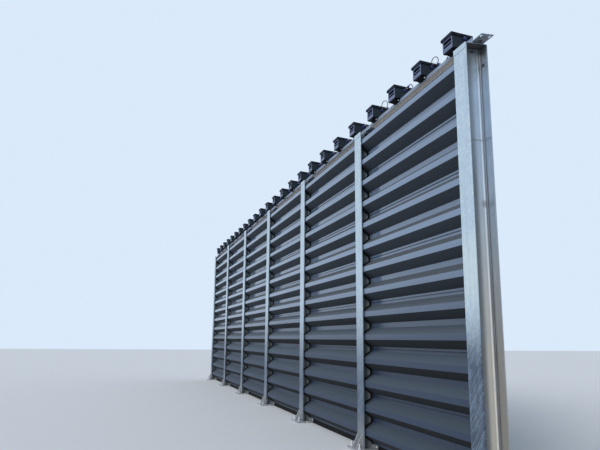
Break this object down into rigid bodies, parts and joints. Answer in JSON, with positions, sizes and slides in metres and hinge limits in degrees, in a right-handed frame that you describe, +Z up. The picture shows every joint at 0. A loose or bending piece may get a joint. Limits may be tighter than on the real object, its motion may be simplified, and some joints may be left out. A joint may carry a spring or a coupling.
{
  "type": "highway noise barrier",
  "caption": "Highway noise barrier of galvanised H-section posts and dark corrugated metal panels in bays, with a cable tray and louvred boxes along the top.",
  "frame": {"origin": "middle of the underside of the middle post's base plate, on the axis of its web", "axes": "+X along the wall towards the near end in the picture, +Y away from the road, +Z up"},
  "size_m": [15.41, 0.4, 3.788],
  "materials": {
    "galvanised_post": "hot-dip galvanised, mottled, with brush marks",
    "galvanised_tray": "pre-galvanised sheet",
    "cap_sheet": "folded galvanised sheet, dulled to a warm grey",
    "panel_paint": "dark grey satin paint",
    "black_rubber": "matt black rubber strip",
    "bracket_paint": "black satin paint",
    "box_paint": "near-black blue-grey satin paint",
    "gland_plastic": "moulded dark blue plastic",
    "coupler_plastic": "moulded blue plastic",
    "lead_jacket": "black rubber jacket"
  },
  "bodies": {
    "root": {"post_1": "galvanised_post", "post_2": "galvanised_post", "post_3": "galvanised_post", "post_4": "galvanised_post", "post_5": "galvanised_post", "post_6": "galvanised_post", "post_7": "galvanised_post", "panels_bay_1": "panel_paint", "panels_bay_2": "panel_paint", "panels_bay_3": "panel_paint", "panels_bay_4": "panel_paint", "panels_bay_5": "panel_paint", "panels_bay_6": "panel_paint", "edge_seals_bay_1": "black_rubber", "edge_seals_bay_2": "black_rubber", "edge_seals_bay_3": "black_rubber", "edge_seals_bay_4": "black_rubber", "edge_seals_bay_5": "black_rubber", "edge_seals_bay_6": "black_rubber", "bottom_seals": "black_rubber", "panel_caps": "cap_sheet", "cable_tray_bay_1": "galvanised_tray", "cable_tray_bay_2": "galvanised_tray", "cable_tray_bay_3": "galvanised_tray", "cable_tray_bay_4": "galvanised_tray", "cable_tray_bay_5": "galvanised_tray", "cable_tray_bay_6": "galvanised_tray", "tray_brackets": "galvanised_tray", "boxes_bay_1": "box_paint", "boxes_bay_2": "box_paint", "boxes_bay_3": "box_paint", "boxes_bay_4": "box_paint", "boxes_bay_5": "box_paint", "boxes_bay_6": "box_paint", "box_lids": "box_paint", "box_brackets": "bracket_paint", "cable_glands": "gland_plastic", "end_covers": "galvanised_tray", "box_leads": "lead_jacket", "jumper_1": "lead_jacket", "jumper_2": "lead_jacket", "jumper_3": "lead_jacket", "jumper_1_coupler": "coupler_plastic", "jumper_2_coupler": "coupler_plastic", "jumper_3_coupler": "coupler_plastic"}
  },
  "joints": []
}
